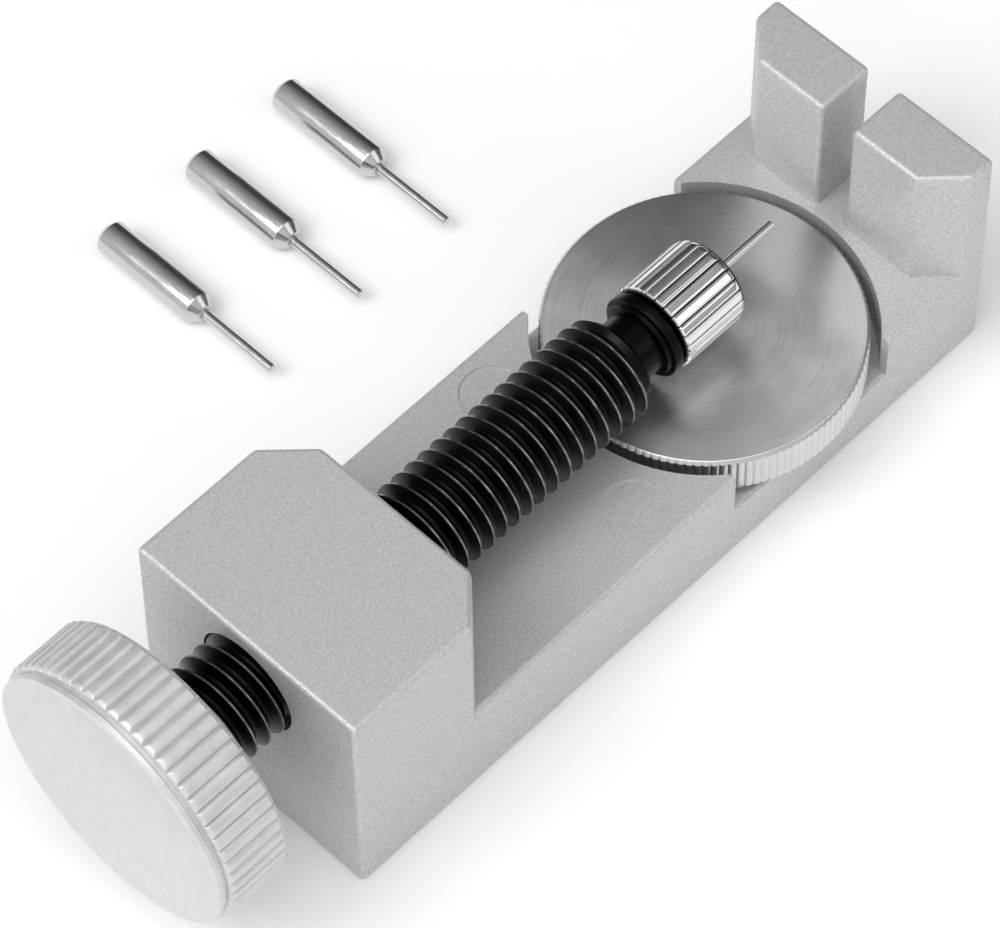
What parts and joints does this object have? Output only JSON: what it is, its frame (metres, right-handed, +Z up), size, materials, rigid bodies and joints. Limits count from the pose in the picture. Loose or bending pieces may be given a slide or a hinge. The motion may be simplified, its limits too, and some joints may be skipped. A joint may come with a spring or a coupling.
{
  "type": "watch band pin press",
  "caption": "Bench press that pushes the pins out of a watch bracelet: cast frame with slotted jaws, long black screw with knob and chuck, round height-adjustable table, spare push pins.",
  "frame": {"origin": "middle of the frame casting's underside", "axes": "+X from the knob to the jaws, along the screw; +Z up; +Y towards the side where the spare pins lie"},
  "size_m": [0.0755, 0.0521, 0.0255],
  "materials": {
    "cast_zinc": "tumbled and blasted zinc die casting, fine matte grain",
    "turned_steel": "fine concentric turning marks, plated",
    "polished_steel": "ground and polished steel",
    "black_oxide": "black oxide, slightly glossy",
    "satin_aluminium": "satin anodised",
    "chrome_plate": "bright chrome plate"
  },
  "bodies": {
    "base": {"frame": "cast_zinc"},
    "push_pin": {"push_pin_body": "polished_steel", "push_pin_needle": "polished_steel"},
    "screw": {"main_screw": "black_oxide", "knob": "satin_aluminium", "chuck_nut": "chrome_plate"},
    "lift": {"wheel_stem": "polished_steel"},
    "table": {"support_wheel": "turned_steel"},
    "spare_pin_1": {"spare_pin_1_body": "polished_steel", "spare_pin_1_needle": "polished_steel"},
    "spare_pin_2": {"spare_pin_2_body": "polished_steel", "spare_pin_2_needle": "polished_steel"},
    "spare_pin_3": {"spare_pin_3_body": "polished_steel", "spare_pin_3_needle": "polished_steel"}
  },
  "joints": [
    {"name": "pin_advance", "type": "slide", "parent": "base", "child": "push_pin", "axis": [1, 0, 0], "range_m": [-0.02, 0.00625]},
    {"name": "screw_turn", "type": "hinge", "parent": "push_pin", "child": "screw", "pos_m": [0, 0, 0.0148], "axis": [1, 0, 0], "range_deg": [-5760, 1800]},
    {"name": "table_lift", "type": "slide", "parent": "base", "child": "lift", "axis": [0, 0, 1], "range_m": [-0.0005, 0.0012]},
    {"name": "table_turn", "type": "hinge", "parent": "lift", "child": "table", "pos_m": [0.01335, 0, 0], "axis": [0, 0, 1], "range_deg": [-180, 432]},
    {"name": "spare_pin_1_lift", "type": "slide", "parent": "base", "child": "spare_pin_1", "axis": [0, 0, 1], "range_m": [0, 0.04]},
    {"name": "spare_pin_2_lift", "type": "slide", "parent": "base", "child": "spare_pin_2", "axis": [0, 0, 1], "range_m": [0, 0.04]},
    {"name": "spare_pin_3_lift", "type": "slide", "parent": "base", "child": "spare_pin_3", "axis": [0, 0, 1], "range_m": [0, 0.04]}
  ],
  "couplings": [
    {"joint": "screw_turn", "follows": "pin_advance", "rad_per_m": 5026.5},
    {"joint": "table_turn", "follows": "table_lift", "rad_per_m": 6283.2}
  ]
}
